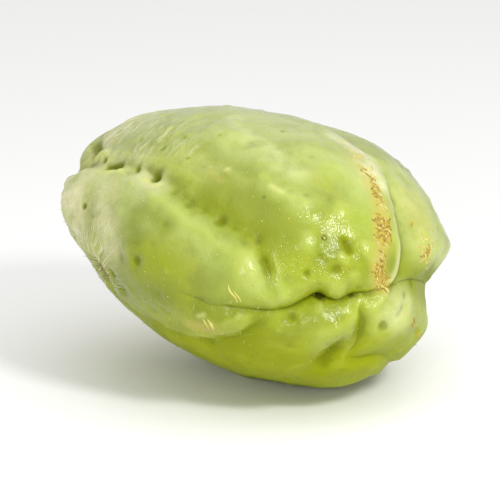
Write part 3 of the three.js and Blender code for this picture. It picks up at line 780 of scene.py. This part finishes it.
class Growing(Nodes):
    """A tree of geometry nodes: its named inputs, its joined nodes, and the plain mesh it makes."""

    def __init__(self, name, sizes, seed, material):
        self.tree = bpy.data.node_groups.new(name, "GeometryNodeTree")
        self.add_socket("Ground", "Geometry")
        self.settings = {self.add_socket(label, "Float"): float(size) for label, size in sizes.items()}
        self.settings[self.add_socket("Seed", "Int")] = seed
        self.settings[self.add_socket("Finish", "Material")] = material
        self.add_socket("Grown", "Geometry", "OUTPUT")
        self.inputs = self.tree.nodes.new("NodeGroupInput").outputs
        self.outputs = self.tree.nodes.new("NodeGroupOutput").inputs

    def add_socket(self, label, kind, side="INPUT"):
        """Gives the tree a named socket, and gives back the identifier that it is set by."""
        panel = self.tree.interface
        return panel.new_socket(label, in_out=side, socket_type="NodeSocket" + kind).identifier

    def chance(self, low, high, extra=0):
        """A number between low and high, another one for each place."""
        node = self.tree.nodes.new("FunctionNodeRandomValue")
        node.data_type = "FLOAT"
        for value, name in ((low, "Min_001"), (high, "Max_001")):
            feed(next(s for s in node.inputs if s.identifier == name), value)
        feed(node.inputs["Seed"], self.maths("ADD", self.inputs["Seed"], extra))
        return next(s for s in node.outputs if s.identifier == "Value_001")

    def scattered(self, where, low, high):
        """Points scattered on the ground, no nearer than Spacing, where a mark on it is high."""
        mark = self.node("GeometryNodeInputNamedAttribute", "Attribute", {"data_type": "FLOAT"}, Name=where)
        share = self.node("ShaderNodeMapRange", "Result", Value=mark, From_Min=low, From_Max=high)
        points = self.node(
            "GeometryNodeDistributePointsOnFaces", "Points", {"distribute_method": "POISSON"},
            Mesh=self.inputs["Ground"], Distance_Min=self.inputs["Spacing"],
            Density_Max=self.inputs["Density"], Density_Factor=share, Seed=self.inputs["Seed"])
        return points, points.node.outputs["Rotation"]

    def turned(self, rotation, axis, angle):
        turn = self.node("FunctionNodeAxisAngleToRotation", "Rotation", Axis=axis, Angle=angle)
        return self.node("FunctionNodeRotateRotation", "Rotation", {"rotation_space": "LOCAL"},
                         Rotation=rotation, Rotate_By=turn)

    def copies(self, points, piece, rotation, x, y, z):
        """A copy of the piece at each point, turned and made x, y and z times as large."""
        size = self.node("ShaderNodeCombineXYZ", "Vector", X=x, Y=y, Z=z)
        return self.node("GeometryNodeInstanceOnPoints", "Instances", Points=points, Instance=piece,
                         Rotation=rotation, Scale=size)

    def finish(self, geometry, ground, name):
        """Ends the tree, runs it once on the ground's mesh and keeps what it makes as a plain mesh."""
        real = self.node("GeometryNodeRealizeInstances", "Geometry", Geometry=geometry)
        rounded = self.node("GeometryNodeSetShadeSmooth", "Geometry", Geometry=real)
        done = self.node("GeometryNodeSetMaterial", "Geometry", Geometry=rounded,
                         Material=self.inputs["Finish"])
        feed(self.outputs["Grown"], done)
        piece = bpy.data.objects.new(name, ground.copy())
        bpy.context.collection.objects.link(piece)
        growth = piece.modifiers.new(name, "NODES")
        growth.node_group = self.tree
        for identifier, value in self.settings.items():
            growth[identifier] = value
        grown = piece.evaluated_get(bpy.context.evaluated_depsgraph_get())
        mesh = bpy.data.meshes.new_from_object(grown)
        piece.modifiers.clear()
        piece.data = mesh
        return piece


def dappled(name, size, detail, one, other, roughness):
    """A matt finish in clouds of two colours, size millimetres across."""
    s = Shading(name)
    s.give(Base_Color=s.colour(s.spread(s.noise(size, detail), 0.35, 0.65), one, other),
           Roughness=roughness)
    return s


def dry_cork(name, light, dark):
    s = dappled(name, 0.9, 3, light, dark, 0.7)
    s.give(Normal=s.relief(s.noise(0.3, 3), 0.06))
    return s.material


def laid_strands(name, where, seed, sizes, finish):
    """A tangle of thin bent threads laid on the skin where the mark is high."""
    g = Growing(name, sizes, seed, finish)
    points, rotation = g.scattered(where, 0.25, 0.8)
    line = g.node("GeometryNodeCurvePrimitiveLine", "Curve", Start=(-0.5, 0, 0), End=(0.5, 0, 0))
    line = g.node("GeometryNodeResampleCurve", "Curve", Curve=line, Count=STRAND_POINTS)
    length = g.times(g.chance(0.4, 1.3, 1), g.inputs["Length"])
    turned = g.turned(rotation, (0, 0, 1), g.chance(0, 2 * math.pi, 2))
    strands = g.copies(points, line, turned, length, 1.0, 1.0)
    strands = g.node("GeometryNodeRealizeInstances", "Geometry", Geometry=strands)
    place = g.node("GeometryNodeInputPosition", "Position")
    drift = g.node("ShaderNodeTexNoise", "Color", Vector=place, Scale=1 / (DRIFT_SIZE * MM),
                   Detail=1.0)
    drift = g.vector("MULTIPLY", g.vector("SUBTRACT", drift, (0.5, 0.5, 0.5)), g.inputs["Wander"])
    strands = g.node("GeometryNodeSetPosition", "Geometry", Geometry=strands, Offset=drift)
    on_skin = g.node("GeometryNodeProximity", "Position", {"target_element": "FACES"},
                     Geometry=g.inputs["Ground"])
    strands = g.node("GeometryNodeSetPosition", "Geometry", Geometry=strands, Position=on_skin)
    along = g.node("GeometryNodeSplineParameter", "Factor")
    taper = g.maths("POWER", g.maths("SINE", g.times(along, math.pi)), 0.5)
    profile = g.node("GeometryNodeCurvePrimitiveCircle", "Curve", Resolution=STRAND_SIDES, Radius=1.0)
    thick = g.times(g.maths("MAXIMUM", taper, 0.1), g.inputs["Thickness"])
    tubes = g.node("GeometryNodeCurveToMesh", "Mesh", Curve=strands, Profile_Curve=profile, Scale=thick,
                   Fill_Caps=True)
    return g.finish(tubes, skin_mesh, name)


brown_cork = dry_cork("dry_brown_cork", (0.45, 0.32, 0.04, 1), (0.24, 0.155, 0.012, 1))
cork = laid_strands("cork_strands", "rust", 4, {
    "Spacing": 0.55 * MM, "Density": 2.2e6, "Length": 2.4 * MM, "Wander": 2.0 * MM,
    "Thickness": 0.23 * MM}, brown_cork)
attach(cork, "root")

# ---------------------------------------------------------------------------------------------
# Healed threads. Round the cork the split has closed with paler, straw-coloured threads of young
# cork. They are a little finer and further apart, and are laid on the skin in the same way.
# ---------------------------------------------------------------------------------------------
straw_cork = dry_cork("dry_straw_cork", (0.64, 0.57, 0.23, 1), (0.47, 0.385, 0.075, 1))
threads = laid_strands("healed_threads", "healed", 7, {
    "Spacing": 0.8 * MM, "Density": 7e5, "Length": 2.6 * MM, "Wander": 1.8 * MM,
    "Thickness": 0.19 * MM}, straw_cork)
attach(threads, "root")

# ---------------------------------------------------------------------------------------------
# Scars: fine pale threads of healed skin, where it was scratched or has stretched as it grew. Each
# is a flat thread laid along its own route and thinned out at its ends.
# ---------------------------------------------------------------------------------------------
# Each thread's half width, its rise and its route.
SCARS = [
    (0.3, 0.3, [(42.5, 48.6), (42, 49), (41.5, 49.4)]),
    (0.32, 0.3, [(70, 102.5), (69, 105), (69, 108)]),
    (0.26, 0.25, [(71.5, 103), (70.5, 106), (70.5, 109)]),
    (0.38, 0.3, [(63.5, 82.5), (63, 85.5), (61.5, 88), (61, 91)]),
    (0.22, 0.25, [(62, 85), (60.5, 88), (60, 90.5)]),
    (0.3, 0.35, [(20, 66), (18, 69), (16, 72), (15, 76)]), (0.22, 0.3, [(22, 64), (19, 71), (18, 76)]),
    (0.26, 0.18, [(96, 214), (94, 216), (93, 219)]), (0.26, 0.18, [(62, 287), (64, 289), (65, 292)])]
SCAR_SIDES = 6


def laid_thread(half_width, rise, route):
    """Corners and faces of one thread that follows a route over the skin."""
    line = trace(route)[0]
    middles = skin_point(line)[0]
    ahead = unit(np.gradient(middles, axis=0))
    outward = unit(body_normal(line))
    sideways = unit(np.cross(outward, ahead))
    thin = np.clip(np.sin(np.linspace(0, math.pi, len(line))), 0.03, 1) ** 0.6
    turn = np.arange(SCAR_SIDES) * 2 * math.pi / SCAR_SIDES
    across = half_width * np.cos(turn)[:, None] * sideways[:, None]
    upward = rise * np.sin(turn)[:, None] * outward[:, None]
    rings = middles[:, None] + (across + upward) * thin[:, None, None]
    sides = []
    for i in range(len(line) - 1):
        here, there = i * SCAR_SIDES, (i + 1) * SCAR_SIDES
        for k in range(SCAR_SIDES):
            n = (k + 1) % SCAR_SIDES
            sides.append([here + k, here + n, there + n, there + k])
    start = list(range(SCAR_SIDES))[::-1]
    end = [(len(line) - 1) * SCAR_SIDES + k for k in range(SCAR_SIDES)]
    return rings.reshape(-1, 3), sides + [start, end]


def plain_piece(name, corners, sides, finish):
    """A piece from corners in millimetres, put into the fruit's own frame."""
    mesh = bpy.data.meshes.new(name)
    mesh.from_pydata(((corners - origin) * MM).tolist(), [], sides)
    mesh.polygons.foreach_set("use_smooth", np.ones(len(sides), bool))
    mesh.materials.append(finish)
    mesh.update()
    piece = bpy.data.objects.new(name, mesh)
    bpy.context.collection.objects.link(piece)
    return piece


def joined(threads):
    """The corners and faces of several threads as those of one piece."""
    corners = []
    sides = []
    for more, faces in threads:
        first = sum(len(c) for c in corners)
        corners.append(more)
        sides += [[first + k for k in face] for face in faces]
    return np.concatenate(corners), sides


healed_skin = dappled("healed_skin", 2, 3, (0.62, 0.58, 0.16, 1), (0.50, 0.46, 0.07, 1), 0.5)
scars = plain_piece("scars", *joined(laid_thread(*scar) for scar in SCARS), healed_skin.material)
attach(scars, "root")

# ---------------------------------------------------------------------------------------------
# Stem ridges: where the skin draws in to the stalk's pit it stands up in fine low ridges, dry and
# pale with bloom. They start on all sides of the pit, and each runs in to it on its own slight bend.
# ---------------------------------------------------------------------------------------------
RIDGES_MEET = (112.5, 112)
RIDGES_START = [
    (115, 82), (113, 77), (112, 73), (110, 71), (108, 69), (105, 70), (102, 72), (103, 77), (100, 82),
    (106, 81), (109, 79), (110, 84), (117, 84), (106, 88), (113, 88), (120, 90), (102, 90), (119, 97),
    (123, 104), (124, 113), (120, 123), (115, 128), (108, 126), (103, 120), (101, 111), (104, 102)]
RIDGE_RISE = 0.09
RIDGE_STEPS = np.array([0, 0.3, 0.65, 0.94])


def gathered_ridges():
    """A thread from each start most of the way to where they meet."""
    chance = np.random.default_rng(5)
    for start in RIDGES_START:
        width = chance.uniform(0.12, 0.3)
        bend = chance.uniform(-0.9, 0.9)
        sideways = bend * np.sin(math.pi * RIDGE_STEPS)
        polar = start[0] + (RIDGES_MEET[0] - start[0]) * RIDGE_STEPS + sideways
        around = start[1] + (RIDGES_MEET[1] - start[1]) * RIDGE_STEPS
        yield laid_thread(width, RIDGE_RISE, list(zip(polar, around)))


pale_bloom = dappled("pale_bloom", 2, 3, (0.66, 0.63, 0.36, 1), (0.47, 0.49, 0.17, 1), 0.6)
ridges = plain_piece("stem_ridges", *joined(gathered_ridges()), pale_bloom.material)
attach(ridges, "root")

# ---------------------------------------------------------------------------------------------
# The stalk's scar: the dry woody plug left at the bottom of the pit where the stalk broke off. It is
# a low crown of torn brown fibres round a sunken middle, and its root is sunk well into the fruit.
# ---------------------------------------------------------------------------------------------
PLUG_RADIUS = 3.2
PLUG_RISE = 1.1
PLUG_ROOT = 2
PLUG_RINGS = 14
PLUG_SPOKES = 72


def stalk_plug():
    """Corners and faces of the plug, ring by ring from its root to its middle."""
    centre = skin_point(direction(*STEM_PIT_AT)[None])[0][0]
    turn = np.arange(PLUG_SPOKES) * 2 * math.pi / PLUG_SPOKES
    around = np.cos(turn)[:, None] * pit_side_a + np.sin(turn)[:, None] * pit_side_b
    corners = [centre - PLUG_ROOT * pit_outward]
    for k in range(PLUG_RINGS):
        share = 1 - k / PLUG_RINGS
        fibres = 0.5 * np.cos(9 * turn + 0.8 * np.sin(2 * turn)) + 0.3 * np.cos(23 * turn + 2 * share)
        crown = bell(share - 0.62, 0.22) * (1 + 0.5 * fibres)
        sunk = PLUG_ROOT * smooth((share - 0.82) / 0.18)
        up = PLUG_RISE * crown - sunk - 0.5 * (1 - smooth(share / 0.4))
        reach = PLUG_RADIUS * share * (1 + 0.08 * np.cos(5 * turn + 1) + 0.04 * np.cos(13 * turn))
        corners += list(centre + reach[:, None] * around + up[:, None] * pit_outward)
    corners.append(centre - 0.5 * pit_outward)
    corners = np.array(corners)
    faces = []
    last = len(corners) - 1
    for j in range(PLUG_SPOKES):
        n = (j + 1) % PLUG_SPOKES
        faces.append([0, 1 + n, 1 + j])
        for k in range(PLUG_RINGS - 1):
            a = 1 + k * PLUG_SPOKES
            faces.append([a + j, a + n, a + PLUG_SPOKES + n, a + PLUG_SPOKES + j])
        inner = 1 + (PLUG_RINGS - 1) * PLUG_SPOKES
        faces.append([inner + j, inner + n, last])
    return corners, faces


dry_wood = dappled("dry_stalk_wood", 1.0, 5, (0.20, 0.14, 0.065, 1), (0.42, 0.34, 0.18, 1), 0.85)
dry_wood.give(Normal=dry_wood.relief(dry_wood.noise(0.35, 4), 0.12))
plug = plain_piece("stalk_scar", *stalk_plug(), dry_wood.material)
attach(plug, "root")

# ---------------------------------------------------------------------------------------------
# Lenticels: the fruit's breathing pores, hundreds of tiny domes of pale wax that stand out of the
# skin. They are scattered over all but the stalk's end, no nearer to each other than Spacing.
# ---------------------------------------------------------------------------------------------
def pale_wax():
    s = Shading("pale_wax")
    s.give(Base_Color=(0.50, 0.55, 0.12, 1), Roughness=0.5)
    return s.material


def lenticels():
    g = Growing("lenticels", {"Spacing": 2.4 * MM, "Density": 2e4, "Size": 0.17 * MM}, 9, pale_wax())
    points, rotation = g.scattered("pores", 0, 1)
    dome = g.node("GeometryNodeMeshUVSphere", "Mesh", Segments=7, Rings=5, Radius=1.0)
    size = g.times(g.chance(0.5, 1.3, 1), g.inputs["Size"])
    domes = g.copies(points, dome, rotation, size, size, g.times(size, 0.7))
    return g.finish(domes, skin_mesh, "lenticels")


pores = lenticels()
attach(pores, "root")

# ---------------------------------------------------------------------------------------------
# Bristles: a chayote keeps some short soft hairs, mostly round the stalk's end and underneath. Each
# is a fine waxy cone that leans over, and none grow where the fruit lies on the floor.
# ---------------------------------------------------------------------------------------------
def bristles():
    g = Growing("bristles", {"Spacing": 2.4 * MM, "Density": 5e4, "Length": 1.0 * MM,
                             "Thickness": 0.1 * MM}, 3, pale_wax())
    points, rotation = g.scattered("hairy", 0.1, 1)
    hair = g.node("GeometryNodeMeshCone", "Mesh", {"fill_type": "NGON"}, Vertices=5, Radius_Top=0.25,
                  Radius_Bottom=1.0, Depth=1.0)
    length = g.times(g.chance(0.5, 1.4, 1), g.inputs["Length"])
    turned = g.turned(rotation, (0, 0, 1), g.chance(0, 2 * math.pi, 2))
    leaning = g.turned(turned, (0, 1, 0), g.chance(0.1, 0.8, 3))
    hairs = g.copies(points, hair, leaning, g.inputs["Thickness"], g.inputs["Thickness"], length)
    return g.finish(hairs, skin_mesh, "bristles")


hairs = bristles()
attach(hairs, "root")

# ---------------------------------------------------------------------------------------------
# The floor: a wide round sheet of pale matt board that the fruit lies on. It is so broad that its
# edge is only a faint horizon.
# ---------------------------------------------------------------------------------------------
BOARD_RADIUS = 3

bpy.ops.mesh.primitive_circle_add(
    vertices=128, radius=BOARD_RADIUS, fill_type="NGON", location=(0, 0, 0))
board = bpy.context.object
board.name = "pale_board"
matt_board = Shading("matt_board")
matt_board.give(Base_Color=(0.86, 0.86, 0.85, 1), Roughness=0.9)
board.data.materials.append(matt_board.material)
board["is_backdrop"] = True

# ---------------------------------------------------------------------------------------------
# The light: a soft white room, a large soft box near the ceiling, a small one overhead that makes
# the glances on the wax, and a small one in front. They all point at the middle of the fruit.
# ---------------------------------------------------------------------------------------------
ROOM_LIGHT = 0.7
LIT_MIDDLE = Vector((0, 0, 0.035))

room = bpy.data.worlds.new("white_room")
bpy.context.scene.world = room
room.use_nodes = True
room.node_tree.nodes["Background"].inputs["Color"].default_value = (1, 1, 1, 1)
room.node_tree.nodes["Background"].inputs["Strength"].default_value = ROOM_LIGHT


def soft_box(name, place, size, watts):
    lamp = bpy.data.lights.new(name, "AREA")
    lamp.size = size
    lamp.energy = watts
    box = bpy.data.objects.new(name, lamp)
    box.location = place
    box.rotation_euler = (LIT_MIDDLE - Vector(place)).to_track_quat("-Z", "Y").to_euler()
    bpy.context.collection.objects.link(box)


soft_box("ceiling_box", (0.2, 0.1, 1.6), 2.4, 12.0)
soft_box("overhead_box", (0.41, -0.11, 0.36), 0.095, 1.6)
soft_box("front_box", (0.3, -0.75, 0.3), 0.15, 1.5)

# ---------------------------------------------------------------------------------------------
# The camera: it looks from the near side and a little towards the blossom's end, slightly down, at
# a point just under the middle of the fruit. SCALE is pixels to the millimetre at that point.
# ---------------------------------------------------------------------------------------------
AZIMUTH = 36
ELEVATION = 16
DISTANCE = 0.7
SCALE = 3.5
SENSOR = 36
FRAME_WIDTH = 500
AIM_HEIGHT = 0.0355

turn = math.radians(AZIMUTH)
lift = math.radians(ELEVATION)
back = Vector((math.sin(turn) * math.cos(lift), -math.cos(turn) * math.cos(lift), math.sin(lift)))
aim = Vector((0, 0, AIM_HEIGHT))
camera = bpy.data.objects.new("camera", bpy.data.cameras.new("camera"))
camera.location = aim + back * DISTANCE
camera.rotation_euler = back.to_track_quat("Z", "Y").to_euler()
camera.data.sensor_width = SENSOR
camera.data.lens = SENSOR * SCALE * DISTANCE / MM / FRAME_WIDTH
camera.data.clip_start = 0.01
bpy.context.collection.objects.link(camera)
bpy.context.scene.camera = camera
bpy.context.scene.view_settings.view_transform = "Standard"

boxes = {"cad": cad_box, "visual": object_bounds()}
{name: [[float(v) for v in corner] for corner in box] for name, box in boxes.items()}
